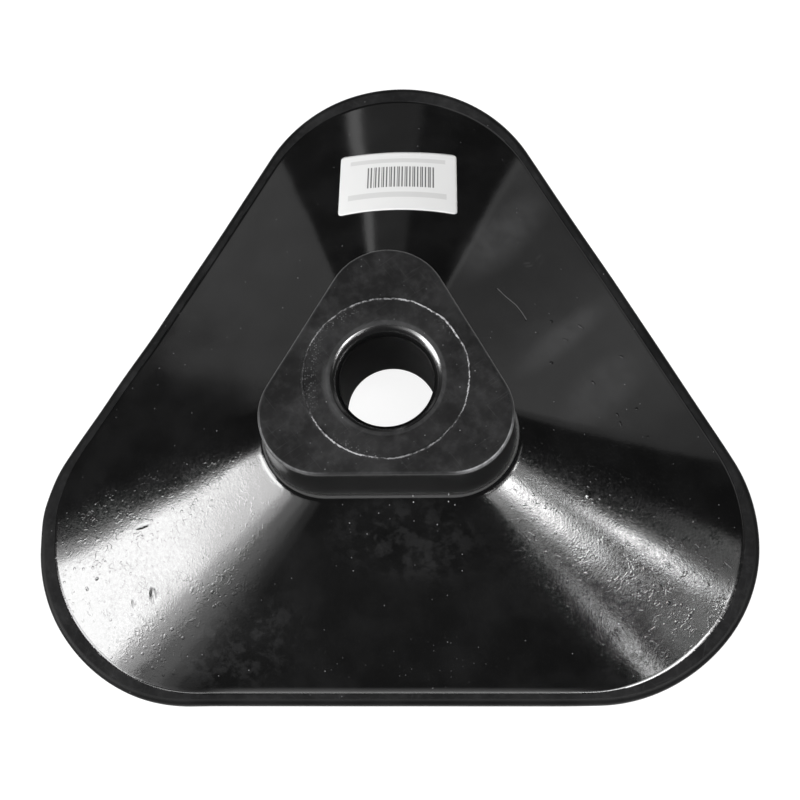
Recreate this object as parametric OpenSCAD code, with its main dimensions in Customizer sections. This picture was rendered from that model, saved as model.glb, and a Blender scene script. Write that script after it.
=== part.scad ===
// Moulded rubber foot for a sign post: a rounded triangle with a flat flange,
// three sloping faces and a raised boss that takes the post.
// Millimetres. Z is up, the origin is on the socket's axis at the floor,
// and +Y points to the corner that carries the label.

/* [Foot] */
// Width of the foot across its front, left to right
foot_w = 340; // [280:2:420]
// Radius of the foot's three corners
foot_corner_r = 76; // [60:1:90]
// Thickness of the flange round the foot
flange_t = 7; // [4:0.5:12]
// Width of the flange at the left and right corners, from the edge to the crease
flange_w = 8; // [4:0.5:14]
// Corner radius of the crease
crease_r = 73; // [56:1:80]
// Radius of the flange's upper edge
flange_edge_r = 2; // [0.5:0.25:3]
// Radius of the foot's edge on the floor
floor_edge_r = 1; // [0.5:0.25:2]

/* [Boss] */
// Height of the boss's top above the floor
boss_top_z = 90; // [78:1:120]
// Width of the boss at its top
boss_w = 110; // [96:1:140]
// Corner radius of the boss at its top
boss_r = 27; // [20:1:34]
// Height at which the slope would meet the boss's wall
boss_root_z = 57; // [48:1:66]
// Draft of the boss's wall: how far it steps out from top to root
boss_draft = 1; // [0.5:0.25:3]
// Radius of the boss's upper edge
boss_edge_r = 1.5; // [1:0.25:4]
// Height of the hollow blend where the slope turns up into the boss
root_blend_h = 3.5; // [3:0.5:12]

/* [Socket] */
// Inside diameter of the socket, for a 40 mm post
socket_d = 41; // [30:0.5:50]
// Radius of the rounded mouth of the socket
mouth_r = 4.5; // [2:0.25:7]
// Radius of the socket's lower edge
socket_foot_r = 1; // [0.5:0.25:3]
// Radius of the ring of flash that the mould's core left round the socket
flash_ring_r = 36; // [31:0.5:40]
// Width of the ring of flash
flash_w = 1.2; // [0.6:0.1:2]
// Height of the ring of flash
flash_h = 0.5; // [0.3:0.1:1]

/* [Hollow underside] */
// Height of the hollow's ceiling above the floor
ceiling_z = 38; // [26:1:42]
// Wall between the hollow and the slope, measured square to the flat faces
wall_t = 15; // [11:0.5:18]
// Radius where the hollow's ceiling meets its walls
ceiling_blend_r = 6; // [3:0.5:9]
// Radius of the rim's inner edge on the floor
rim_edge_r = 2; // [0.5:0.25:3]

/* [Label] */
// Width of the label across the slope, as it lies bent
label_w = 57.5; // [40:0.5:70]
// Height of the label, up the slope
label_h = 42; // [20:1:46]
// Corner radius of the label
label_corner_r = 2; // [0.5:0.25:4]
// Thickness of the label
label_t = 0.3; // [0.2:0.05:0.5]
// Thickness of the glue line under the label
glue_t = 0.05; // [0.02:0.01:0.1]
// Distance of the label's middle from the corner's tip, across the floor
label_from_tip = 64.5; // [50:0.5:75]
// How far the label's middle sits to the right of the corner's middle
label_right = 1.2; // [-12:0.2:12]
// Turn of the label on the slope, in degrees
label_turn = 0.7; // [-6:0.1:6]

/* [Hidden] */
$fn = 96;
corner_steps = 20;
edge_steps = 3;
blend_steps = 7;
spare = 1;

// A level is [height, width, corner radius] of one rounded triangle.
foot = [0, foot_w, foot_corner_r];
crease = [flange_t, foot_w - 2 * flange_w, crease_r];
root = [boss_root_z, boss_w + 2 * boss_draft, boss_r + boss_draft];
rim = [boss_top_z, boss_w, boss_r];

// How far a flat side of a level lies from the axis
function side_reach(level) = (level[1] - 2 * level[2]) / (2 * sqrt(3)) + level[2];
// How far a corner's tip of a level lies from the axis
function tip_reach(level) = (level[1] - 2 * level[2]) / sqrt(3) + level[2];
// The same outline drawn in by a distance, at another height
function inset(level, by, z) = [z, level[1] - 2 * by, level[2] - by];
// A level of the slope, or of the slope carried on, at a height
function on_slope(z) =
    let (share = (z - crease[0]) / (root[0] - crease[0]))
    crease + (root - crease) * share;
// A quadratic curve from one level to another, drawn towards a third
function curve(from, via, to, share) =
    from * (1 - share) ^ 2 + via * 2 * share * (1 - share) + to * share ^ 2;

slope_angle = atan((root[0] - crease[0]) / (side_reach(crease) - side_reach(root)));
wall_inset = wall_t / sin(slope_angle);
tip_angle = atan((root[0] - crease[0]) / (tip_reach(crease) - tip_reach(root)));
blend_start = on_slope(boss_root_z - root_blend_h / 2);
blend_end = root + (rim - root) * root_blend_h / (boss_top_z - boss_root_z);

// One rounded triangle at its height, counter-clockwise from above
function outline(level) = [
    for (corner = [0 : 2], step = [0 : corner_steps])
    let (
        towards = 90 + 120 * corner,
        turn = towards - 60 + 120 * step / corner_steps,
        reach = (level[1] - 2 * level[2]) / sqrt(3)
    )
    [
        reach * cos(towards) + level[2] * cos(turn),
        reach * sin(towards) + level[2] * sin(turn),
        level[0]
    ]
];

// A solid through rounded triangles that stand one above the other
module loft(levels) {
    count = 3 * (corner_steps + 1);
    last = len(levels) - 1;
    polyhedron(
        points = [for (level = levels) each outline(level)],
        faces = [
            [for (i = [0 : count - 1]) i],
            for (row = [0 : last - 1], i = [0 : count - 1])
            [
                row * count + i,
                (row + 1) * count + i,
                (row + 1) * count + (i + 1) % count,
                row * count + (i + 1) % count
            ],
            [for (i = [count - 1 : -1 : 0]) last * count + i]
        ]
    );
}

// The outside of the foot, from the floor to the top of the boss
module outer_form() {
    loft([
        for (i = [0 : edge_steps])
        let (turn = 90 * i / edge_steps)
        inset(foot, floor_edge_r * (1 - sin(turn)), floor_edge_r * (1 - cos(turn))),
        for (i = [0 : edge_steps])
        let (turn = 90 * i / edge_steps)
        inset(foot, flange_edge_r * (1 - cos(turn)), flange_t - flange_edge_r * (1 - sin(turn))),
        crease,
        for (i = [0 : blend_steps]) curve(blend_start, root, blend_end, i / blend_steps),
        for (i = [0 : edge_steps])
        let (turn = 90 * i / edge_steps)
        inset(rim, boss_edge_r * (1 - cos(turn)), boss_top_z - boss_edge_r * (1 - sin(turn)))
    ]);
}

// The hollow underneath: it follows the slope and stops at a flat ceiling
module hollow() {
    function wall_level(z) = inset(on_slope(z), wall_inset, z);
    mouth = wall_level(rim_edge_r);
    top = wall_level(ceiling_z);
    loft([
        inset(mouth, -rim_edge_r, -spare),
        for (i = [0 : edge_steps])
        let (turn = 90 * i / edge_steps)
        inset(mouth, -rim_edge_r * (1 - sin(turn)), rim_edge_r * (1 - cos(turn))),
        for (i = [0 : edge_steps])
        curve(
            wall_level(ceiling_z - ceiling_blend_r),
            top,
            inset(top, ceiling_blend_r, ceiling_z),
            i / edge_steps
        )
    ]);
}

// What the socket takes away: the bore and its two rounded ends
module socket() {
    bore_r = socket_d / 2;
    translate([0, 0, -spare]) cylinder(r = bore_r, h = boss_top_z + 2 * spare);
    translate([0, 0, boss_top_z]) rounded_end(bore_r, mouth_r);
    translate([0, 0, ceiling_z]) mirror([0, 0, 1]) rounded_end(bore_r, socket_foot_r);
}

// The waste ring that rounds the upper end of a bore whose face is at z = 0
module rounded_end(bore_r, round_r) {
    rotate_extrude()
    difference() {
        translate([bore_r - spare, -round_r]) square([round_r + spare, round_r + spare]);
        translate([bore_r + round_r, -round_r]) circle(r = round_r);
    }
}

// The thin ring of flash that stands on the boss round the socket
module flash_ring() {
    translate([0, 0, boss_top_z - flash_h])
    rotate_extrude()
    translate([flash_ring_r - flash_w / 2, 0])
    square([flash_w, 2 * flash_h]);
}

module base() {
    color("#1b1b1d")
    union() {
        difference() {
            outer_form();
            hollow();
            socket();
        }
        flash_ring();
    }
}

// The slope's own solid, grown sideways so that its face moves out squarely
module slope_form(grow) {
    loft([
        inset(crease, -grow, crease[0]),
        inset(root, -grow, root[0])
    ]);
}

// The paper label, bent round the corner's cone
module label() {
    label_y = tip_reach(foot) - label_from_tip;
    label_z = crease[0] + (tip_reach(crease) - label_y) * tan(tip_angle);
    color("white")
    intersection() {
        difference() {
            slope_form((glue_t + label_t) / sin(tip_angle));
            slope_form(glue_t / sin(tip_angle));
        }
        translate([label_right, label_y, label_z])
        rotate([-tip_angle, 0, 0])
        rotate([0, 0, label_turn])
        translate([0, 0, -label_w / 2])
        linear_extrude(label_w)
        label_outline();
    }
}

module label_outline() {
    half = [label_w / 2 - label_corner_r, label_h / 2 - label_corner_r];
    union() {
        square([label_w, label_h - 2 * label_corner_r], center = true);
        square([label_w - 2 * label_corner_r, label_h], center = true);
        for (x = [-half[0], half[0]], y = [-half[1], half[1]])
        translate([x, y]) circle(r = label_corner_r);
    }
}

base();
label();
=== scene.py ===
"""A moulded rubber foot for a sign post: its fine surface, label, light and camera.

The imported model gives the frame, the box and the pieces. This script rebuilds the rubber
as a close mesh with the small unevenness of a moulding, sticks the paper label on it,
and lights both as in the photograph.
"""

from __future__ import annotations

import logging
import math
from dataclasses import dataclass, field
from enum import Enum

import bpy
from mathutils import Matrix, Vector, noise

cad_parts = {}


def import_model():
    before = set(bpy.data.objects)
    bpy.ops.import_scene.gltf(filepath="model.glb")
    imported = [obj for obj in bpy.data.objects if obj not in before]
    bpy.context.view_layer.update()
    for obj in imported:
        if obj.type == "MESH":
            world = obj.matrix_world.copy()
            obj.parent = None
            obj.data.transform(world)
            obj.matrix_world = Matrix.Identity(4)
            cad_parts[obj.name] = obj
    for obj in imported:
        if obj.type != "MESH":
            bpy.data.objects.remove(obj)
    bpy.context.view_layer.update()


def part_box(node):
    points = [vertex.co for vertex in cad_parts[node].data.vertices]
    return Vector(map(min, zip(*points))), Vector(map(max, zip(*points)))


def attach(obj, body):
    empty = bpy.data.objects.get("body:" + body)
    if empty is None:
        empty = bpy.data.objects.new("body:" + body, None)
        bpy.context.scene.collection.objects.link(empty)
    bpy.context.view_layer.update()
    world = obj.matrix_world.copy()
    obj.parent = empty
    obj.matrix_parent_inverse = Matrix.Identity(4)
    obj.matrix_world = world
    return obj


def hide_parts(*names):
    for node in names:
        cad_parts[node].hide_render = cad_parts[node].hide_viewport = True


LOG = logging.getLogger("rubber_foot")
MM = 0.001
PHOTO_PX = 800
DUST_GREY = 0.34
DUST_ROUGHNESS = 0.3
BLUE_TINT = 1.02
AIM_HEIGHT_M = 0.03


class Shader:
    """One shader socket that can be used in sums, or a graph that adds nodes to a material."""

    def __init__(self, tree: bpy.types.NodeTree, socket: bpy.types.NodeSocket | None = None) -> None:
        """Keep the tree that new nodes go to, and the socket that this value comes from."""
        self.tree = tree
        self.socket = socket

    def node(
        self,
        kind: str,
        settings: dict[str, object] | None = None,
        inputs: dict[str | int, object] | None = None,
        output: str | int = 0,
    ) -> Shader:
        """Add a node of any kind.

        Args:
            kind: The node's type, such as ShaderNodeMath.
            settings: Properties that are set first.
            inputs: Values or links by socket name or number.
            output: The output socket that the result stands for.

        Returns:
            The node's output as a value.
        """
        made = self.tree.nodes.new(kind)
        for name, value in (settings or {}).items():
            setattr(made, name, value)
        for name, value in (inputs or {}).items():
            if isinstance(value, Shader):
                self.tree.links.new(value.socket, made.inputs[name])
            else:
                made.inputs[name].default_value = value
        return Shader(self.tree, made.outputs[output] if made.outputs else None)

    def _math(self, operation: str, *values: Shader | float) -> Shader:
        """A Math node on up to three values."""
        return self.node("ShaderNodeMath", {"operation": operation}, dict(enumerate(values)))

    def __add__(self, other: Shader | float) -> Shader:
        """self + other."""
        return self._math("ADD", self, other)

    def __radd__(self, other: float) -> Shader:
        """other + self."""
        return self._math("ADD", other, self)

    def __sub__(self, other: Shader | float) -> Shader:
        """self - other."""
        return self._math("SUBTRACT", self, other)

    def __mul__(self, other: Shader | float) -> Shader:
        """self * other."""
        return self._math("MULTIPLY", self, other)

    def __rmul__(self, other: float) -> Shader:
        """other * self."""
        return self._math("MULTIPLY", other, self)

    def __truediv__(self, other: Shader | float) -> Shader:
        """self / other."""
        return self._math("DIVIDE", self, other)

    def root(self) -> Shader:
        """The square root of the value."""
        return self._math("SQRT", self)

    def size(self) -> Shader:
        """The value without its sign."""
        return self._math("ABSOLUTE", self)

    def most(self, other: Shader | float) -> Shader:
        """The larger of two values."""
        return self._math("MAXIMUM", self, other)

    def least(self, other: Shader | float) -> Shader:
        """The smaller of two values."""
        return self._math("MINIMUM", self, other)

    def sine(self) -> Shader:
        """The sine of the value in radians."""
        return self._math("SINE", self)

    def ramp(self, low: float, high: float, to_low: float = 0.0, to_high: float = 1.0) -> Shader:
        """A smooth step between two levels.

        Args:
            low: The level that gives to_low.
            high: The level that gives to_high.
            to_low: The result at and below low.
            to_high: The result at and above high.

        Returns:
            The stepped value.
        """
        return self.node(
            "ShaderNodeMapRange",
            {"interpolation_type": "SMOOTHSTEP"},
            {0: self, 1: low, 2: high, 3: to_low, 4: to_high},
        )

    def blend(self, first: tuple[float, ...] | Shader, second: tuple[float, ...] | Shader) -> Shader:
        """A colour that runs from first to second as this value runs from 0 to 1."""
        return self.node("ShaderNodeMix", {"data_type": "RGBA"}, {0: self, 6: first, 7: second}, output=2)


def emptied(block: bpy.types.Material | bpy.types.World) -> bpy.types.NodeTree:
    """Give a material or a world its node tree, with nothing in it."""
    block.use_nodes = True
    block.node_tree.nodes.clear()
    return block.node_tree


def put(name: str, data: bpy.types.ID) -> bpy.types.Object:
    """Add an object with this data to the scene."""
    made = bpy.data.objects.new(name, data)
    bpy.context.scene.collection.objects.link(made)
    return made


class SurfaceField(Shader):
    """Coordinates and noises on a piece, in millimetres, for one material."""

    def __init__(self, tree: bpy.types.NodeTree) -> None:
        """Take the object's own coordinates and split them."""
        super().__init__(tree)
        place = self.node("ShaderNodeTexCoord", output="Object")
        scaled = self.node("ShaderNodeVectorMath", {"operation": "SCALE"}, {0: place, "Scale": 1 / MM})
        self.place = scaled
        parts = self.node("ShaderNodeSeparateXYZ", None, {0: scaled})
        outputs = parts.socket.node.outputs
        self.x = Shader(tree, outputs[0])
        self.y = Shader(tree, outputs[1])
        self.z = Shader(tree, outputs[2])

    def _moved(self, place: Shader, by: tuple[float, float, float]) -> Shader:
        """Coordinates moved along, so that a pattern falls elsewhere."""
        return self.node("ShaderNodeVectorMath", {"operation": "ADD"}, {0: place, 1: by})

    def from_axis(self) -> Shader:
        """Distance from the socket's axis, in millimetres."""
        return (self.x * self.x + self.y * self.y).root()

    def grain(self, size: float, detail: float = 2.0, seed: float = 0.0, rough: float = 0.5) -> Shader:
        """Soft noise from 0 to 1.

        Args:
            size: How far apart its lumps lie, in millimetres.
            detail: How many finer octaves it has.
            seed: A number that shifts the pattern.
            rough: How strong the finer octaves are.

        Returns:
            The noise.
        """
        moved = self._moved(self.place, (seed, 1.7 * seed, 2.3 * seed))
        return self.node(
            "ShaderNodeTexNoise",
            None,
            {"Vector": moved, "Scale": 1 / size, "Detail": detail, "Roughness": rough},
        )

    def hairlines(self, turn: float, seed: float) -> Shader:
        """Sparse fine scratches that all run one way.

        Args:
            turn: Their direction in degrees from +X.
            seed: A number that shifts the pattern.

        Returns:
            A mask that is 1 in the scratches.
        """
        turned = self.node(
            "ShaderNodeVectorRotate",
            {"rotation_type": "Z_AXIS"},
            {"Vector": self.place, "Angle": math.radians(-turn)},
        )
        drawn = self.node(
            "ShaderNodeVectorMath", {"operation": "MULTIPLY"}, {0: turned, 1: (0.06, 1.7, 0.06)}
        )
        moved = self._moved(drawn, (seed, seed, seed))
        return self.node(
            "ShaderNodeTexNoise", None, {"Vector": moved, "Scale": 1.0, "Detail": 1.0}
        ).ramp(0.68, 0.78)

    def specks(self, spacing: float, radius: float, seed: float, share: float) -> Shader:
        """Small round specks scattered at random.

        Args:
            spacing: The mean distance between the cells that may hold one.
            radius: The radius of the largest speck.
            seed: A number that shifts the pattern.
            share: The share of cells that hold a speck.

        Returns:
            A mask that is 1 inside the specks.
        """
        moved = self._moved(self.place, (seed, seed, 0.0))
        flat = {"feature": "F1", "voronoi_dimensions": "2D"}
        cells = self.node("ShaderNodeTexVoronoi", flat, {"Vector": moved, "Scale": 1 / spacing})
        outputs = cells.socket.node.outputs
        distance = Shader(self.tree, outputs["Distance"]) * spacing
        chance = self.node("ShaderNodeSeparateColor", None, {0: Shader(self.tree, outputs["Color"])})
        kept = chance.ramp(1 - share, 1 - share + 0.02)
        tint = Shader(self.tree, chance.socket.node.outputs[1])
        return distance.ramp(radius, 0.5 * radius) * kept * (0.4 + 0.6 * tint)

    def line(self, start: Vector, end: Vector) -> Shader:
        """Distance from a straight line between two places, in millimetres."""
        run = end - start
        length = run.length
        run.normalize()
        along = (self.x - start.x) * run.x + (self.y - start.y) * run.y
        across = (self.y - start.y) * run.x - (self.x - start.x) * run.y
        past = (along - length / 2).size() - length / 2
        beyond = past.most(0.0)
        return (across * across + beyond * beyond).root()

    def cover(
        self, colour: Shader, rough: Shader, height: Shader, shine: float, bending: float = 1.5
    ) -> None:
        """Make the material's surface.

        Args:
            colour: The base colour.
            rough: The roughness.
            height: The fine relief, in millimetres.
            shine: The specular level.
            bending: The index of refraction.
        """
        bump = self.node("ShaderNodeBump", None, {"Strength": 1.0, "Distance": MM, "Height": height})
        surface = self.node(
            "ShaderNodeBsdfPrincipled",
            None,
            {
                "Base Color": colour,
                "Roughness": rough,
                "Specular IOR Level": shine,
                "IOR": bending,
                "Normal": bump,
            },
        )
        self.node("ShaderNodeOutputMaterial", None, {0: surface})


@dataclass(frozen=True)
class Level:
    """One rounded triangle of the foot, seen from above, in millimetres."""

    height: float
    width: float
    corner: float

    def inset(self, by: float, height: float) -> Level:
        """The same outline drawn in by a distance, at another height."""
        return Level(height, self.width - 2 * by, self.corner - by)

    def toward(self, other: Level, share: float) -> Level:
        """The level a share of the way to another."""
        return Level(
            self.height + (other.height - self.height) * share,
            self.width + (other.width - self.width) * share,
            self.corner + (other.corner - self.corner) * share,
        )

    @property
    def centre_reach(self) -> float:
        """How far the middle of a corner's arc lies from the axis."""
        return (self.width - 2 * self.corner) / math.sqrt(3)

    @property
    def side_reach(self) -> float:
        """How far a flat side lies from the axis."""
        return self.centre_reach / 2 + self.corner

    @property
    def tip_reach(self) -> float:
        """How far a corner's tip lies from the axis."""
        return self.centre_reach + self.corner


class Zone(Enum):
    """The kinds of surface that the foot has."""

    EDGE = 0
    FLANGE = 1
    SLOPE = 2
    WALL = 3
    TOP = 4
    MOUTH = 5
    INSIDE = 6


@dataclass(frozen=True)
class Row:
    """One closed line of vertices round the foot."""

    level: Level
    zone: Zone
    circle: float = 0.0
    roundness: float = 0.0


@dataclass(frozen=True)
class Column:
    """One line of vertices up the foot: an arc's turn, or a step along a side."""

    corner: float
    next_corner: float
    share: float
    turn: float

    def place(self, level: Level) -> Vector:
        """Where the column crosses a level, seen from above."""
        first = unit(self.corner)
        second = unit(self.next_corner)
        centre = first.lerp(second, self.share) * level.centre_reach
        return centre + unit(self.turn) * level.corner


def skyward(azimuth: float, zenith: float) -> Vector:
    """The unit vector at a clockwise angle from +Y and an angle from +Z, both in radians."""
    flat = math.sin(zenith)
    return Vector((math.sin(azimuth) * flat, math.cos(azimuth) * flat, math.cos(zenith)))


def unit(turn: float) -> Vector:
    """The flat unit vector at an angle in degrees from +X."""
    return Vector((math.cos(math.radians(turn)), math.sin(math.radians(turn))))


def steps(count: int) -> list[float]:
    """Shares from 0 to 1 in equal steps, both ends included."""
    return [i / count for i in range(count + 1)]


def quarter(count: int, radius: float) -> list[tuple[float, float]]:
    """How far a rounding has turned in and has still to rise or fall, step by step.

    Args:
        count: The number of steps.
        radius: The rounding's radius.

    Returns:
        For each step the two distances, which run from 0 and to 0.
    """
    turns = [share * math.pi / 2 for share in steps(count)]
    return [(radius * (1 - math.cos(turn)), radius * (1 - math.sin(turn))) for turn in turns]


def lumps(
    point: Vector, size: float, height: float, shift: tuple[float, float, float] = (0, 0, 0)
) -> float:
    """Smooth random lumps: how far they stand out at a point, in millimetres."""
    return noise.noise(point / size + Vector(shift)) * height


@dataclass(frozen=True)
class Patch:
    """A soft oval area seen from above, in millimetres, turned in degrees from +X."""

    x: float
    y: float
    turn: float
    long: float
    wide: float
    core: float = 0.4

    def mask(self, place: SurfaceField) -> Shader:
        """1 in the core, which is a share of the oval, and fading to 0 at its edge."""
        cos, sin = math.cos(math.radians(self.turn)), math.sin(math.radians(self.turn))
        x, y = place.x - self.x, place.y - self.y
        along = (x * cos + y * sin) / self.long
        across = (y * cos - x * sin) / self.wide
        return (along * along + across * across).root().ramp(1.0, self.core)


@dataclass(frozen=True)
class Dent:
    """A small oval hollow in the rubber, or a bump where its depth is below zero."""

    x: float
    y: float
    turn: float
    long: float
    wide: float
    depth: float

    def height(self, place: SurfaceField) -> Shader:
        """The dent's height over the slope, in millimetres."""
        oval = Patch(self.x, self.y, self.turn, self.long, self.wide, core=0.15)
        return oval.mask(place) * -self.depth


@dataclass(frozen=True)
class Thread:
    """A thin raised line through some spots, such as a flow mark or a scar."""

    spots: tuple[tuple[float, float], ...]
    half: float
    height: float

    def mask(self, place: SurfaceField) -> Shader:
        """1 on the line and 0 beside it."""
        spots = [Vector(spot) for spot in self.spots]
        nearest = place.line(spots[0], spots[1])
        for start, end in zip(spots[1:], spots[2:]):
            nearest = nearest.least(place.line(start, end))
        return nearest.ramp(self.half, 0.2 * self.half)


class Detail(Enum):
    """The marks that a finish may carry."""

    NONE = 0
    SLOPES = 1
    RING = 2
    FLANGE = 3
    WALL = 4


@dataclass(frozen=True)
class RubberFinish:
    """How one part of the moulding looks."""

    name: str
    dark: float
    pale: float
    roughness: float
    swing: float
    shine: float
    peel: float
    dust: float
    detail: Detail = Detail.NONE
    bending: float = 1.5

    def dress(self) -> bpy.types.Material:
        """Build the material."""
        material = bpy.data.materials.new(self.name)
        place = SurfaceField(emptied(material))
        cloud = place.grain(24, detail=4, seed=11, rough=0.6)
        pale = cloud.ramp(0.35, 0.72)
        dust = place.specks(spacing=7.0, radius=0.34, seed=3.0, share=self.dust) * 0.5
        height = (place.grain(0.8, detail=2, seed=5) - 0.5) * self.peel
        rough = self.roughness + (cloud - 0.5) * self.swing
        if self.detail is Detail.SLOPES:
            worn = SlopeMarks.worn(place)
            # pale clouds and streaks on the slopes, mostly painted reflection
            pale = pale + SlopeMarks.pale_clouds_and_painted_reflection(place)
            dust = dust + SlopeMarks.crumbs(place)
            height = height + SlopeMarks.height(place, worn)
            rough = rough + SlopeMarks.roughness(place, worn)
        if self.detail is Detail.RING:
            ring = TopMarks.ring(place)
            pale = pale + TopMarks.scuffs(place)
            dust = dust + ring + TopMarks.crumbs(place)
            height = height + ring * 0.1
        if self.detail in (Detail.RING, Detail.WALL):
            # edge wear plus a painted highlight on the boss's upper edge
            pale = pale + TopMarks.edge(place)
        if self.detail is Detail.FLANGE:
            pale = pale + FlangeMarks.scuffs(place)
            height = height + (place.grain(3.0, detail=2, seed=17) - 0.5) * 0.12
        dust = dust.ramp(0.0, 1.0)
        grey = self.dark + pale * (self.pale - self.dark) + dust * DUST_GREY
        colour = place.node("ShaderNodeCombineColor", None, {0: grey, 1: grey, 2: grey * BLUE_TINT})
        place.cover(colour, rough + dust * DUST_ROUGHNESS, height, self.shine, self.bending)
        return material


class SlopeMarks:
    """What the mould and the handling left on the slopes, and painted reflection on them."""

    dents = (
        Dent(88.6, 46.2, 150.0, 2.4, 0.8, 0.12),
        Dent(74.4, 46.2, 70.0, 1.0, 0.8, 0.10),
        Dent(73.5, 23.1, 20.0, 1.1, 0.9, 0.12),
        Dent(80.8, 37.3, 170.0, 2.2, 0.6, 0.08),
        Dent(93.3, 15.8, 130.0, 1.5, 0.8, 0.12),
        Dent(108.2, 33.0, 160.0, 1.4, 0.7, 0.10),
        Dent(104.0, 0.3, 120.0, 1.3, 0.7, 0.10),
        Dent(105.2, -4.3, 100.0, 1.9, 0.6, 0.10),
        Dent(113.7, 5.2, 30.0, 1.0, 0.8, 0.10),
        Dent(118.0, -9.2, 70.0, 1.0, 0.6, 0.08),
        Dent(70.3, 81.6, 60.0, 5.0, 2.6, 0.05),
        Dent(64.0, 77.0, 20.0, 3.4, 1.6, 0.06),
        Dent(-116.3, -51.0, 12.0, 4.2, 1.4, 0.12),
        Dent(-110.4, -82.0, 96.0, 4.4, 2.2, 0.32),
        Dent(-120.5, -85.4, 100.0, 2.6, 0.8, 0.12),
        Dent(-139.1, -73.0, 30.0, 1.2, 1.0, 0.16),
        Dent(-144.2, -77.2, 120.0, 1.6, 0.9, 0.12),
        Dent(88.5, -40.8, 60.0, 1.8, 1.6, -0.30),
        Dent(124.9, -85.5, 30.0, 1.1, 1.0, -0.26),
        Dent(134.7, -90.7, 70.0, 1.3, 0.8, -0.20),
        Dent(131.0, -86.0, 70.0, 0.9, 0.7, -0.16),
        Dent(138.0, -47.6, 70.0, 1.2, 1.0, -0.22),
    )
    scar = Thread(((48.9, 59.0), (51.7, 56.2), (57.3, 51.7), (59.6, 48.7), (61.9, 44.7)), 0.8, 0.14)
    flow = Thread(
        ((-5.7, -61.2), (-3.1, -64.5), (-0.5, -66.9), (4.8, -70.1), (11.9, -73.0), (22.6, -73.8)), 2.2, 0.10
    )
    nick = Thread(((120.6, -76.0), (122.6, -79.2)), 0.7, 0.22)

    @classmethod
    def height(cls, place: SurfaceField, worn: Shader) -> Shader:
        """The marks' height over the slope, in millimetres."""
        total = (place.grain(1.1, detail=2, seed=9, rough=0.6) - 0.5) * 0.03
        total = total + (place.grain(3.4, detail=2, seed=13) - 0.5) * 0.012
        crossing = (place.grain(4.2, detail=2, seed=27) - 0.5).size().ramp(0.05, 0.0)
        total = total + crossing * place.grain(7.0, detail=1, seed=29).ramp(0.52, 0.62) * 0.03
        total = total + place.specks(5.0, 0.8, 41.0, 0.18) * 0.06
        total = total - place.specks(2.7, 0.5, 43.0, 0.2) * 0.04
        total = total * worn
        total = total + (place.grain(9.0, detail=1, seed=2) - 0.5) * 0.02
        for dent in cls.dents:
            total = total + dent.height(place)
        for thread in (cls.scar, cls.flow, cls.nick):
            total = total + thread.mask(place) * thread.height
        return total

    @staticmethod
    def worn(place: SurfaceField) -> Shader:
        """Where the rubber has an orange peel, from 0 to 1: most on the two front corners."""
        left = Patch(-112.0, -66.0, 210.0, 82.0, 58.0, 0.55).mask(place)
        right = Patch(106.0, -66.0, -30.0, 82.0, 56.0, 0.55).mask(place)
        patch = place.grain(18, detail=2, seed=6).ramp(0.3, 0.65)
        return (left + right) * (0.55 + 0.45 * patch) + 0.08

    @staticmethod
    def roughness(place: SurfaceField, worn: Shader) -> Shader:
        """What the front slope, its crease and the orange peel add to the roughness."""
        front = Patch(0.0, -100.0, 0.0, 112.0, 62.0).mask(place)
        crease = Patch(0.0, -122.0, 0.0, 104.0, 12.0, 0.7).mask(place) * place.z.ramp(8.6, 7.4)
        mottle = place.grain(1.6, detail=3, seed=33, rough=0.7) - 0.38
        return front * 0.07 + crease * 0.3 + worn * mottle * 0.35

    @staticmethod
    def pale_clouds_and_painted_reflection(place: SurfaceField) -> Shader:
        """Pale clouds on the front corners and under the boss, and streaks on the right slope: painted
        reflection on the corners and the right slope, and the flow mark's own pale cloud under the boss.
        """
        left = Patch(-70.0, -105.0, 200.0, 42.0, 24.0, 0.3).mask(place)
        right = Patch(118.0, -88.0, 60.0, 46.0, 40.0, 0.3).mask(place)
        swirl = Patch(8.0, -62.0, -5.0, 46.0, 22.0, 0.3).mask(place)
        mottle = place.grain(7, detail=4, seed=15, rough=0.65).ramp(0.45, 0.62)
        # painted reflection on the two front corners (left, right); swirl is the flow mark's own pale cloud
        clouds = (left * 3.0 + right * 5.0 + swirl * 2.4) * mottle
        # painted reflection: streaks on the right slope standing in for the lamps' grey glints
        high = Patch(52.0, 92.0, 56.0, 46.0, 15.0, 0.2).mask(place)
        middle = Patch(80.0, 39.0, 48.0, 44.0, 9.0, 0.2).mask(place)
        low = Patch(98.0, 14.0, 48.0, 36.0, 15.0, 0.3).mask(place)
        streaks = place.grain(11, detail=3, seed=51, rough=0.6).ramp(0.25, 0.65, 0.5, 1.0)
        return clouds + (high * 9.0 + middle * 7.0 + low * 5.5) * streaks

    @staticmethod
    def crumbs(place: SurfaceField) -> Shader:
        """Pale specks, thickest under the boss."""
        under = Patch(6.0, -50.0, 0.0, 42.0, 11.0, 0.6).mask(place)
        low = Patch(10.0, -112.0, 0.0, 60.0, 14.0, 0.6).mask(place)
        many = place.specks(spacing=2.6, radius=0.36, seed=31.0, share=0.14)
        return many * (under * 0.8 + low * 0.25)


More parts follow.
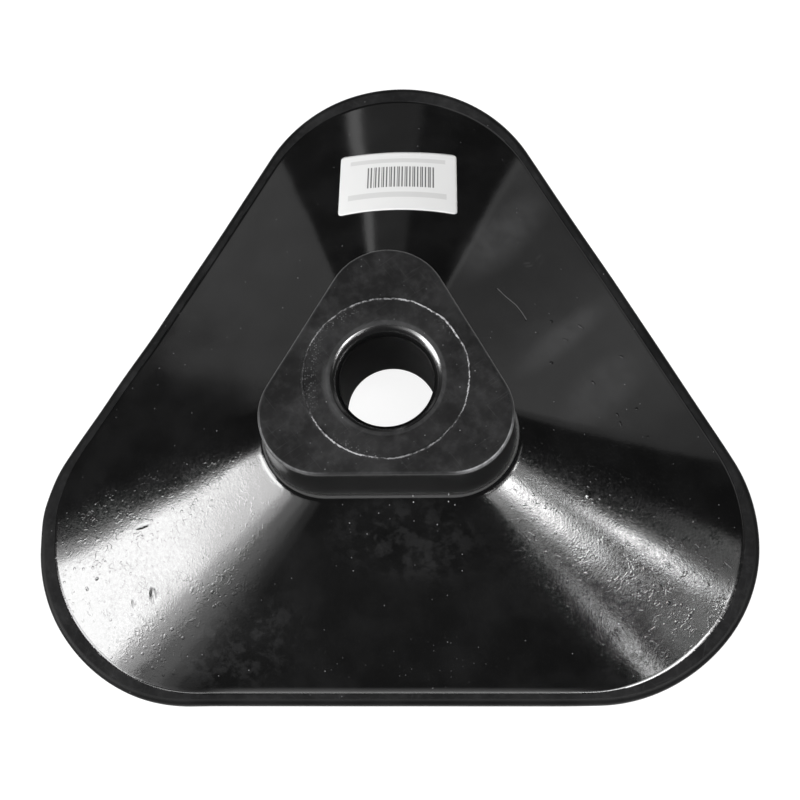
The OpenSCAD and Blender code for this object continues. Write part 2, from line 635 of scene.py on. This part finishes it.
class TopMarks:
    """What is on the boss's flat top: the ring of flash, its crumbs and old scuffs, and painted highlights
    on its upper edge and on the mouth's rounding.
    """

    radius = 36.0

    @classmethod
    def ring(cls, place: SurfaceField) -> Shader:
        """The whitened ring of flash."""
        ragged = (place.grain(1.3, detail=3, seed=21, rough=0.7) - 0.5) * 1.5
        sway = (place.grain(14, detail=1, seed=23) - 0.5) * 1.6
        off = (place.from_axis() - cls.radius + ragged + sway).size()
        back = Patch(20.0, 29.0, -45.0, 26.0, 12.0).mask(place)
        front = Patch(-20.0, -30.0, -35.0, 22.0, 9.0).mask(place)
        side = Patch(36.0, -6.0, 90.0, 22.0, 6.0).mask(place)
        left = Patch(-36.0, -2.0, 90.0, 20.0, 9.0, 0.5).mask(place)
        broken = place.grain(2.2, detail=3, seed=4, rough=0.7).ramp(0.38, 0.58, 0.25, 1.0)
        strength = 0.5 + back * 0.7 + front * 0.8 + side * 0.3 - left * 0.35
        return off.ramp(0.5, 0.12) * broken * strength

    @classmethod
    def crumbs(cls, place: SurfaceField) -> Shader:
        """Crumbs of flash beside the ring, in a few places."""
        inside = (place.from_axis() - (cls.radius - 2.5)).size().ramp(6.0, 0.5)
        left = Patch(-33.0, 4.0, 90.0, 27.0, 9.0).mask(place)
        back = Patch(-20.0, 29.0, 35.0, 20.0, 6.0).mask(place)
        front = Patch(-16.0, -34.0, -20.0, 24.0, 8.0).mask(place)
        right = Patch(27.0, 24.0, -45.0, 12.0, 5.0).mask(place)
        fine = place.specks(spacing=0.9, radius=0.38, seed=31.0, share=0.42)
        coarse = place.specks(spacing=5.0, radius=0.36, seed=37.0, share=0.2)
        near = left + back * 0.9 + front + right * 0.7
        return fine * inside * (near * 0.3 + 0.03) + coarse * 0.2

    @staticmethod
    def edge(place: SurfaceField) -> Shader:
        """A pale band on the boss's upper edge: partly wear all round, partly a painted highlight that is
        strongest at its two front corners.
        """
        left = Patch(-44.0, -34.0, -50.0, 26.0, 16.0, 0.3).mask(place)
        right = Patch(44.0, -34.0, 50.0, 24.0, 14.0, 0.3).mask(place)
        band = place.z.ramp(89.93, 89.8) * place.z.ramp(87.2, 88.2)
        mottle = place.grain(3.0, detail=3, seed=39).ramp(0.35, 0.6, 0.6, 1.0)
        # painted highlight: the two front-corner weights stand in for the lamp caught on the rounded edge
        return band * mottle * (1.5 + left * 9.0 + right * 24.0)

    @staticmethod
    def scuffs(place: SurfaceField) -> Shader:
        """Pale hairlines, and a pale crescent of painted light on the left of the mouth's rounding."""
        left = Patch(-24.0, -9.0, 110.0, 22.0, 11.0).mask(place)
        # painted light: a pale crescent where the mouth's rounding turns to the lamps
        mouth = (place.from_axis() - 26.0).size().ramp(2.4, 0.4) * left
        mottle = place.grain(5, detail=4, seed=3, rough=0.7).ramp(0.4, 0.75)
        lines = place.hairlines(35.0, 3.0) + place.hairlines(128.0, 8.0)
        return mouth * 2.0 + mottle * 0.9 + lines * 0.8


class FlangeMarks:
    """What is on the flange."""

    @staticmethod
    def scuffs(place: SurfaceField) -> Shader:
        """Pale hairlines and mottles."""
        mottle = place.grain(4, detail=4, seed=19, rough=0.7).ramp(0.42, 0.7)
        lines = place.hairlines(20.0, 5.0) + place.hairlines(75.0, 12.0) + place.hairlines(140.0, 2.0)
        return mottle * 0.9 + lines


FINISHES = {
    Zone.SLOPE: RubberFinish("slopes", 0.0022, 0.0052, 0.115, 0.03, 1.0, 0.012, 0.12, Detail.SLOPES),
    Zone.FLANGE: RubberFinish("flange", 0.009, 0.015, 0.45, 0.10, 0.01, 0.03, 0.12, Detail.FLANGE),
    Zone.TOP: RubberFinish("boss_top", 0.0045, 0.015, 0.58, 0.08, 0.12, 0.04, 0.25, Detail.RING),
    Zone.WALL: RubberFinish("boss_wall", 0.006, 0.012, 0.30, 0.06, 0.8, 0.03, 0.0, Detail.WALL),
    Zone.MOUTH: RubberFinish("mouth", 0.004, 0.006, 0.2, 0.04, 1.0, 0.01, 0.0, bending=1.75),
    Zone.INSIDE: RubberFinish("inside", 0.003, 0.005, 0.50, 0.10, 0.3, 0.03, 0.0),
    Zone.EDGE: RubberFinish("outer_edge", 0.004, 0.009, 0.45, 0.08, 0.11, 0.04, 0.08),
}


@dataclass
class RubberFoot:
    """The moulded rubber foot, in millimetres; the width and height come from the frame."""

    width: float
    top: float
    corner: float = 76.0
    flange: float = 7.0
    flange_width: float = 8.0
    crease_corner: float = 73.0
    crease_blend: float = 0.8
    floor_edge: float = 1.0
    flange_edge: float = 2.8
    boss_width: float = 110.0
    boss_corner: float = 27.0
    boss_edge: float = 1.6
    boss_draft: float = 1.0
    root_height: float = 57.0
    root_blend: float = 3.5
    socket: float = 20.5
    mouth: float = 6.6
    socket_foot: float = 1.0
    ring: float = 36.0
    ring_height: float = 0.5
    ceiling: float = 38.0
    ceiling_blend: float = 6.0
    wall: float = 15.0
    rim_edge: float = 2.0
    bulges: tuple[tuple[float, float], ...] = (
        *((30, 0), (60, 0.7), (92, 0.7), (108, -0.3), (130, -1.6), (150, 0)),
        *((212, 0), (224, 0.6), (238, 0), (252, 0), (258, 1.2), (265, 2.1), (277, 1.2)),
        *((295, 0), (318, -0.5), (338, -0.4), (352, 0), (390, 0)),
    )
    arc_steps: int = 56
    side_steps: int = 40
    slope_steps: int = 96
    columns: list[Column] = field(default_factory=list)
    rows: list[Row] = field(default_factory=list)

    def __post_init__(self) -> None:
        """Work out the levels that the rest follows."""
        self.foot = Level(0.0, self.width, self.corner)
        self.crease = Level(self.flange, self.width - 2 * self.flange_width, self.crease_corner)
        self.root = Level(
            self.root_height, self.boss_width + 2 * self.boss_draft, self.boss_corner + self.boss_draft
        )
        self.rim = Level(self.top, self.boss_width, self.boss_corner)
        self._lay_columns()
        self._lay_rows()

    def on_slope(self, height: float) -> Level:
        """The level of the slope, or of the slope carried on, at a height."""
        share = (height - self.crease.height) / (self.root.height - self.crease.height)
        return self.crease.toward(self.root, share)

    def _lay_columns(self) -> None:
        """List the columns: three arcs and three sides, counter-clockwise."""
        for corner in (90.0, 210.0, 330.0):
            for share in steps(self.arc_steps):
                self.columns.append(Column(corner, corner, 0.0, corner - 60 + 120 * share))
            for share in steps(self.side_steps)[1:-1]:
                self.columns.append(Column(corner, corner + 120, share, corner + 60))

    def _lay_rows(self) -> None:
        """List the rows: up the outside, over the boss, down the socket and the hollow."""
        self._outside_rows()
        self._boss_rows()
        self._socket_rows()
        self._hollow_rows()

    def _add(self, level: Level, zone: Zone, circle: float = 0.0, roundness: float = 0.0) -> None:
        """Add one row."""
        self.rows.append(Row(level, zone, circle, roundness))

    def _curve(self, start: Level, via: Level, end: Level, count: int, zone: Zone) -> None:
        """Add rows along a quadratic curve from one level, left out, to another."""
        for share in steps(count)[1:]:
            self._add(start.toward(via, share).toward(via.toward(end, share), share), zone)

    def _outside_rows(self) -> None:
        """Floor edge, flange, crease and slope."""
        for rise, by in quarter(4, self.floor_edge):
            self._add(self.foot.inset(by, rise), Zone.EDGE)
        for by, drop in quarter(7, self.flange_edge):
            self._add(self.foot.inset(by, self.flange - drop), Zone.EDGE)
        start = self.foot.inset(self.flange_edge, self.flange)
        for share in steps(5)[1:-1]:
            self._add(start.toward(self.crease, share), Zone.FLANGE)
        before = self.crease.inset(-self.crease_blend, self.flange)
        self._add(before, Zone.FLANGE)
        after = self.on_slope(self.flange + self.crease_blend / 2)
        self._curve(before, self.crease, after, 5, Zone.SLOPE)
        blend_start = self.on_slope(self.root_height - self.root_blend / 2)
        for share in steps(self.slope_steps)[1:]:
            self._add(after.toward(blend_start, share), Zone.SLOPE)
        blend_end = self.root.toward(self.rim, self.root_blend / (self.top - self.root_height))
        self._curve(blend_start, self.root, blend_end, 12, Zone.SLOPE)
        edge = self.root.toward(self.rim, 1 - self.boss_edge / (self.top - self.root_height))
        for share in steps(12)[1:-1]:
            self._add(blend_end.toward(edge, share), Zone.WALL)

    def _boss_rows(self) -> None:
        """The boss's upper edge and its flat top up to the mouth."""
        for i, (by, drop) in enumerate(quarter(7, self.boss_edge)):
            self._add(self.rim.inset(by, self.top - drop), Zone.WALL if i < 5 else Zone.TOP)
        flat = self.rim.inset(self.boss_edge, self.top)
        for share in steps(16)[1:]:
            self._add(flat, Zone.TOP, self.ring + 1.5, share)
        for share in steps(14)[1:]:
            self._add(flat, Zone.TOP, self.ring + 1.5 - 3.0 * share, 1.0)
        for share in steps(10)[1:]:
            outer = self.ring - 1.5
            inner = self.socket + self.mouth
            self._add(flat, Zone.TOP, outer + (inner - outer) * share, 1.0)

    def _socket_rows(self) -> None:
        """The rounded mouth, the bore and its lower edge."""
        for i, (drop, out) in enumerate(quarter(14, self.mouth)[1:]):
            zone = Zone.TOP if i < 4 else Zone.MOUTH
            self._add(Level(self.top - drop, 0.0, 0.0), zone, self.socket + out, 1.0)
        bottom = self.ceiling + self.socket_foot
        for share in steps(14)[1:]:
            height = self.top - self.mouth + (bottom - self.top + self.mouth) * share
            self._add(Level(height, 0.0, 0.0), Zone.INSIDE, self.socket, 1.0)
        for out, rise in quarter(4, self.socket_foot)[1:]:
            self._add(Level(self.ceiling + rise, 0.0, 0.0), Zone.INSIDE, self.socket + out, 1.0)

    def _hollow_rows(self) -> None:
        """The ceiling, the hollow's wall and the rim on the floor."""
        run = self.crease.side_reach - self.root.side_reach
        angle = math.atan((self.root.height - self.crease.height) / run)
        inset = self.wall / math.sin(angle)

        def wall_level(height: float) -> Level:
            """The hollow's wall at a height."""
            return self.on_slope(height).inset(inset, height)

        top = wall_level(self.ceiling)
        ceiling = top.inset(self.ceiling_blend, self.ceiling)
        for share in steps(8)[1:]:
            self._add(ceiling, Zone.INSIDE, self.socket + self.socket_foot, 1 - share)
        start = wall_level(self.ceiling - self.ceiling_blend)
        self._curve(ceiling, top, start, 6, Zone.INSIDE)
        mouth = wall_level(self.rim_edge)
        for share in steps(16)[1:-1]:
            self._add(start.toward(mouth, share), Zone.INSIDE)
        for by, rise in quarter(4, self.rim_edge):
            self._add(mouth.inset(-by, rise), Zone.INSIDE)
        inner = mouth.inset(-self.rim_edge, 0.0)
        outer = self.foot.inset(self.floor_edge, 0.0)
        for share in steps(3)[1:-1]:
            self._add(inner.toward(outer, share), Zone.INSIDE)

    def _bulge(self, flat: Vector, width: float) -> float:
        """How far the cooled moulding stands out from the true triangle.

        Args:
            flat: The place seen from above.
            width: The width of the level that it is on; the bulge fades toward the boss.

        Returns:
            The distance in millimetres.
        """
        azimuth = (math.degrees(math.atan2(flat.x, flat.y)) - 30) % 360 + 30
        out = max(0.0, (width - self.boss_width - 2) / (self.width - self.boss_width - 2)) ** 1.5
        for (start, low), (end, high) in zip(self.bulges, self.bulges[1:]):
            if azimuth <= end:
                share = (azimuth - start) / (end - start)
                return (low + (high - low) * share * share * (3 - 2 * share)) * out
        return 0.0

    def _points(self) -> list[Vector]:
        """Every vertex, row by row, in millimetres."""
        turns = [column.place(self.rim).normalized() for column in self.columns]
        points = []
        for row in self.rows:
            for column, turn in zip(self.columns, turns):
                flat = turn * row.circle
                if row.roundness < 1.0:
                    level = column.place(row.level)
                    level = level + unit(column.turn) * self._bulge(level, row.level.width)
                    flat = level.lerp(flat, row.roundness)
                points.append(Vector((flat.x, flat.y, row.level.height)))
        return points

    def _relief(self, point: Vector, zone: Zone) -> float:
        """How far the moulding swells or sinks at a point, in millimetres."""
        if zone is Zone.SLOPE:
            near_crease = min(1.0, (point.z - self.flange) / 4)
            near_root = min(1.0, max(0.0, (self.root_height - point.z) / 8))
            broad = lumps(point, 46, 0.20) + lumps(point, 19, 0.05, (7, 3, 1))
            return broad * near_crease * near_root
        if zone is Zone.EDGE:
            return (lumps(point, 38, 0.10, (3, 9, 2)) - 0.07) * min(1.0, point.z / 3)
        if zone is Zone.TOP:
            reach = math.hypot(point.x, point.y)
            ragged = 0.75 + lumps(point, 1.6, 0.5) + lumps(point, 7, 0.5)
            wobble = lumps(point, 9, 0.35, (4, 4, 4))
            ridge = math.exp(-(((reach - self.ring + wobble) / 0.38) ** 2))
            return self.ring_height * ridge * max(0.2, min(1.0, ragged)) - 0.04
        if zone is Zone.WALL:
            near_root = min(1.0, max(0.0, (point.z - self.root_height - 5) / 8))
            return lumps(point, 16, 0.10, (1, 8, 5)) * near_root
        return 0.0

    def build(self) -> bpy.types.Object:
        """Build the foot's mesh with its materials.

        Returns:
            The object.
        """
        count = len(self.columns)
        points = self._points()
        faces = []
        slots = []
        slot_of = {zone: slot for slot, zone in enumerate(FINISHES)}
        for row in range(len(self.rows)):
            above = (row + 1) % len(self.rows)
            low, high = row * count, above * count
            for i in range(count):
                beside = (i + 1) % count
                faces.append((low + i, low + beside, high + beside, high + i))
                slots.append(slot_of[self.rows[above].zone])
        mesh = bpy.data.meshes.new("moulded_foot")
        mesh.from_pydata([point * MM for point in points], [], faces)
        mesh.update()
        normals = [vertex.normal.copy() for vertex in mesh.vertices]
        for i, vertex in enumerate(mesh.vertices):
            swell = self._relief(points[i], self.rows[i // count].zone)
            vertex.co = (points[i] + normals[i] * swell) * MM
        mesh.polygons.foreach_set("material_index", slots)
        mesh.polygons.foreach_set("use_smooth", [True] * len(faces))
        mesh.update()
        for finish in FINISHES.values():
            mesh.materials.append(finish.dress())
        return put("moulded_foot", mesh)


@dataclass
class PaperLabel:
    """The label bent over the back corner's cone, in millimetres."""

    foot: RubberFoot
    width: float = 57.5
    height: float = 42.0
    corner: float = 2.0
    thickness: float = 0.3
    glue: float = 0.05
    from_tip: float = 64.5
    right: float = 1.2
    turn: float = 0.7
    steps_across: int = 56
    steps_up: int = 40

    def _flat(self, across: float, up: float) -> tuple[float, float]:
        """A grid point, each from -1 to 1, moved onto the rounded outline."""
        x = across * self.width / 2
        y = up * self.height / 2
        past_x = max(0.0, abs(x) - (self.width / 2 - self.corner)) / self.corner
        past_y = max(0.0, abs(y) - (self.height / 2 - self.corner)) / self.corner
        length = math.hypot(past_x, past_y)
        if past_x > 0 and past_y > 0:
            pull = max(past_x, past_y) / length
            x = math.copysign(self.width / 2 - self.corner + past_x * pull * self.corner, x)
            y = math.copysign(self.height / 2 - self.corner + past_y * pull * self.corner, y)
        return x, y

    def _on_cone(self, x: float, y: float, lift: float) -> Vector:
        """Drop a point of the flat label onto the cone.

        Args:
            x: Place across the slope.
            y: Place down the slope.
            lift: Distance from the rubber.

        Returns:
            The point in millimetres.
        """
        crease, root = self.foot.crease, self.foot.root
        rise = root.height - crease.height
        angle = math.atan(rise / (crease.tip_reach - root.tip_reach))
        middle_y = self.foot.foot.tip_reach - self.from_tip
        middle = Vector(
            (self.right, middle_y, crease.height + (crease.tip_reach - middle_y) * math.tan(angle))
        )
        down = Vector((0.0, math.cos(angle), -math.sin(angle)))
        out = Vector((0.0, math.sin(angle), math.cos(angle)))
        turn = math.radians(self.turn)
        across = Vector((math.cos(turn), 0.0, 0.0)) + down * math.sin(turn)
        along = down * math.cos(turn) - Vector((math.sin(turn), 0.0, 0.0))
        flat = middle + across * x + along * y
        low, high = -20.0, 5.0
        for _ in range(30):
            half = (low + high) / 2
            point = flat + out * half
            level = self.foot.on_slope(point.z)
            outside = math.hypot(point.x, point.y - level.centre_reach) > level.corner
            low, high = (low, half) if outside else (half, high)
        return flat + out * (low + lift)

    def build(self) -> bpy.types.Object:
        """Build the bent label as a thin closed sheet.

        Returns:
            The object.
        """
        points = []
        prints = []
        wide = self.steps_across + 1
        for lift in (self.glue, self.glue + self.thickness):
            for up in steps(self.steps_up):
                for across in steps(self.steps_across):
                    x, y = self._flat(2 * across - 1, 2 * up - 1)
                    points.append(self._on_cone(x, y, lift) * MM)
                    prints.append((x / self.width + 0.5, y / self.height + 0.5))
        layer = wide * (self.steps_up + 1)
        faces = []
        for j in range(self.steps_up):
            for i in range(self.steps_across):
                a = j * wide + i
                faces.append((a, a + wide, a + wide + 1, a + 1))
                faces.append((layer + a, layer + a + 1, layer + a + wide + 1, layer + a + wide))
        border = [i for i in range(wide)]
        border += [j * wide + wide - 1 for j in range(1, self.steps_up + 1)]
        border += [self.steps_up * wide + i for i in range(wide - 2, -1, -1)]
        border += [j * wide for j in range(self.steps_up - 1, 0, -1)]
        for i, a in enumerate(border):
            b = border[(i + 1) % len(border)]
            faces.append((a, b, layer + b, layer + a))
        mesh = bpy.data.meshes.new("paper_label")
        mesh.from_pydata(points, [], faces)
        uv = mesh.uv_layers.new(name="print")
        for loop in mesh.loops:
            uv.data[loop.index].uv = prints[loop.vertex_index]
        mesh.polygons.foreach_set("use_smooth", [True] * len(faces))
        mesh.materials.append(self._paper())
        mesh.update()
        return put("paper_label", mesh)

    def _paper(self) -> bpy.types.Material:
        """White paper with a plain block of bars and two plain rules."""
        material = bpy.data.materials.new("label_paper")
        place = SurfaceField(emptied(material))
        sheet = place.node("ShaderNodeUVMap", {"uv_map": "print"})
        outputs = place.node("ShaderNodeSeparateXYZ", None, {0: sheet}).socket.node.outputs
        across = Shader(place.tree, outputs[0]) * self.width
        down = Shader(place.tree, outputs[1]) * self.height
        bars = self._bars(across) * self._band(across, 13.7, 46.8) * self._band(down, 16.4, 31.3)
        rules = self._band(down, 34.3, 37.3) * self._band(across, 5.0, 52.0) * 0.3
        rules = rules + self._band(down, 9.0, 12.8) * self._band(across, 4.5, 52.5) * 0.3
        ink = (bars + rules).ramp(0.0, 1.0)
        fibre = place.grain(0.6, detail=3, seed=9) - 0.5
        white = place.grain(14, detail=2, seed=1).blend((0.58, 0.58, 0.58, 1), (0.61, 0.61, 0.605, 1))
        colour = (ink * 0.85).blend(white, (0.03, 0.03, 0.03, 1))
        place.cover(colour, 0.5 + fibre * 0.1, fibre * 0.01, 0.35)
        return material

    @staticmethod
    def _band(value: Shader, low: float, high: float) -> Shader:
        """1 between two levels, 0 outside, with a thin soft edge."""
        return value.ramp(low - 0.05, low + 0.05) * value.ramp(high + 0.05, high - 0.05)

    @staticmethod
    def _bars(across: Shader) -> Shader:
        """Plain upright bars: two regular beats over each other, with no code in them."""
        wide = (across * (2 * math.pi / 1.9)).sine()
        thin = (across * (2 * math.pi / 1.27)).sine()
        return (wide + thin * 0.9).ramp(0.05, 0.25)


@dataclass(frozen=True)
class Softbox:
    """A studio lamp: where it hangs as seen from the foot, how wide it looks, how bright."""

    name: str
    azimuth: float
    zenith: float
    wide: float
    tall: float
    glow: float
    tilt: float = 0.0
    distance: float = 8.0

    def hang(self) -> None:
        """Place the lamp, facing the foot."""
        lamp = bpy.data.lights.new(self.name, "AREA")
        lamp.shape = "RECTANGLE"
        lamp.size = 2 * self.distance * math.tan(math.radians(self.wide / 2)) * math.sin(
            math.radians(max(self.zenith, 20))
        )
        lamp.size_y = 2 * self.distance * math.tan(math.radians(self.tall / 2))
        lamp.energy = self.glow * math.pi * lamp.size * lamp.size_y
        turn = math.radians(self.azimuth)
        toward = skyward(turn, math.radians(self.zenith))
        level = Vector((math.cos(turn), -math.sin(turn), 0.0))
        rise = level.cross(toward)
        tilt = math.radians(self.tilt)
        side = level * math.cos(tilt) + rise * math.sin(tilt)
        basis = Matrix((side, toward.cross(side), toward)).transposed().to_4x4()
        hung = put(self.name, lamp)
        place = toward * self.distance + Vector((0, 0, AIM_HEIGHT_M))
        hung.matrix_world = Matrix.Translation(place) @ basis
        hung.visible_camera = False


@dataclass
class Studio:
    """The floor, the lamps, the world and the camera."""

    lamps: tuple[Softbox, ...] = (
        Softbox("window_low", 255.5, 58.0, 39.0, 14.0, 12.0, -5.0),
        Softbox("window_sill", 257.0, 71.5, 24.0, 13.0, 6.0),
        Softbox("window_middle", 254.5, 46.5, 37.0, 10.0, 6.3),
        Softbox("window_high", 257.0, 34.5, 36.0, 14.0, 11.0),
        Softbox("window_soft", 230.5, 48.0, 11.0, 25.0, 3.2),
        Softbox("window_curtain", 217.5, 46.5, 13.0, 19.0, 0.5),
        Softbox("window_shade", 213.0, 47.0, 22.0, 20.0, 0.35),
        Softbox("window_dusk", 207.0, 47.0, 34.0, 22.0, 0.16),
        Softbox("window_edge", 277.0, 61.0, 5.0, 26.0, 2.2),
        Softbox("high_left", 222.0, 15.0, 50.0, 14.0, 3.5),
        Softbox("right_low", 101.0, 49.0, 7.2, 3.3, 19.0, 34.0),
        Softbox("right_low_soft", 99.5, 49.4, 13.0, 6.5, 1.5, 34.0),
        Softbox("right_near", 101.0, 40.0, 18.6, 11.0, 1.6),
        Softbox("right_high", 116.5, 24.4, 20.7, 39.0, 12.5),
        Softbox("right_high_wide", 119.0, 24.4, 36.0, 38.8, 4.0),
        Softbox("right_high_soft", 134.0, 23.6, 36.0, 37.0, 2.8),
        Softbox("right_front", 142.0, 49.0, 9.0, 2.8, 9.0, -22.0),
        Softbox("right_wall_front", 121.5, 51.0, 19.0, 5.0, 1.4),
        Softbox("right_wall", 105.0, 52.3, 17.0, 4.2, 1.4, 13.0),
        Softbox("right_wall_back", 88.5, 57.0, 16.0, 4.0, 1.3, 22.0),
        Softbox("back_left_wall", 316.5, 80.0, 11.0, 22.0, 0.3),
        Softbox("back_slit", 345.8, 74.5, 3.6, 14.0, 0.8),
        Softbox("back_wall", 354.5, 71.5, 17.0, 12.0, 0.12),
        Softbox("back_right_wall", 44.8, 76.0, 19.5, 22.0, 0.20),
        Softbox("back_right_strip", 46.5, 76.0, 6.0, 22.0, 0.18),
        Softbox("back_right_edge", 36.4, 76.0, 3.4, 22.0, 0.2),
        Softbox("back_right_high", 30.0, 38.0, 60.0, 30.0, 0.4),
        Softbox("ceiling", 0.0, 3.0, 60.0, 46.0, 0.10),
    )
    focal_px: float = 1512.2
    azimuth: float = 10.03
    elevation: float = 72.58
    roll: float = -10.15
    target: Vector = field(default_factory=lambda: Vector((1.22, 17.42, 0.0)))
    distance: float = 739.3

    def build(self) -> None:
        """Set up everything round the foot."""
        for lamp in self.lamps:
            lamp.hang()
            LOG.info("lamp %s", lamp.name)
        self._world()
        self._floor()
        self._camera()
        bpy.context.scene.view_settings.view_transform = "Standard"

    def _world(self) -> None:
        """A dim room that shows white to the camera."""
        world = bpy.data.worlds.new("room")
        graph = Shader(emptied(world))
        ray = graph.node("ShaderNodeLightPath", output="Is Camera Ray")
        room = graph.node("ShaderNodeBackground", None, {"Color": (1, 1, 1, 1), "Strength": 0.03})
        white = graph.node("ShaderNodeBackground", None, {"Color": (1, 1, 1, 1), "Strength": 1.0})
        mixed = graph.node("ShaderNodeMixShader", None, {0: ray, 1: room, 2: white})
        graph.node("ShaderNodeOutputWorld", None, {0: mixed})
        bpy.context.scene.world = world

    def _floor(self) -> None:
        """A wide white floor that keeps a faint shadow."""
        half = 3.0
        mesh = bpy.data.meshes.new("floor")
        corners = [(-half, -half, 0), (half, -half, 0), (half, half, 0), (-half, half, 0)]
        mesh.from_pydata(corners, [], [(0, 1, 2, 3)])
        floor = put("floor", mesh)
        floor.location.z = -0.0002
        material = bpy.data.materials.new("floor_white")
        graph = Shader(emptied(material))
        ray = graph.node("ShaderNodeLightPath", output="Is Camera Ray")
        lit = graph.node("ShaderNodeBsdfDiffuse", None, {"Color": (0.16, 0.16, 0.16, 1)})
        glow = graph.node("ShaderNodeEmission", None, {"Strength": 0.9})
        seen = graph.node("ShaderNodeAddShader", None, {0: lit, 1: glow})
        plain = graph.node("ShaderNodeBsdfDiffuse", None, {"Color": (0.5, 0.5, 0.5, 1)})
        mixed = graph.node("ShaderNodeMixShader", None, {0: ray, 1: plain, 2: seen})
        graph.node("ShaderNodeOutputMaterial", None, {0: mixed})
        mesh.materials.append(material)

    def _camera(self) -> None:
        """The photograph's camera."""
        azimuth = math.radians(self.azimuth)
        back = skyward(math.pi - azimuth, math.radians(90 - self.elevation))
        right = Vector((math.cos(azimuth), math.sin(azimuth), 0.0))
        up = back.cross(right)
        roll = math.radians(self.roll)
        cos, sin = math.cos(roll), math.sin(roll)
        right, up = right * cos + up * sin, up * cos - right * sin
        data = bpy.data.cameras.new("camera")
        data.sensor_fit = "HORIZONTAL"
        data.sensor_width = 36.0
        data.lens = self.focal_px * data.sensor_width / PHOTO_PX
        data.clip_start = 0.01
        camera = put("camera", data)
        basis = Matrix((right, up, back)).transposed().to_4x4()
        camera.matrix_world = Matrix.Translation((self.target + back * self.distance) * MM) @ basis
        bpy.context.scene.camera = camera


def main() -> None:
    """Load the frame, build the pieces in order and light them."""
    logging.basicConfig(level=logging.INFO)
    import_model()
    low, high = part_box("base")
    sizes = RubberFoot.__dataclass_fields__
    foot = RubberFoot(
        width=(high[0] - low[0]) / MM,
        top=high[2] / MM - sizes["ring_height"].default,
    )
    rubber = foot.build()
    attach(rubber, "root")
    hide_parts("base")
    LOG.info("foot: %d vertices", len(rubber.data.vertices))
    label = PaperLabel(foot).build()
    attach(label, "root")
    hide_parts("label")
    LOG.info("label: %d vertices", len(label.data.vertices))
    Studio().build()


if __name__ == "__main__":
    main()
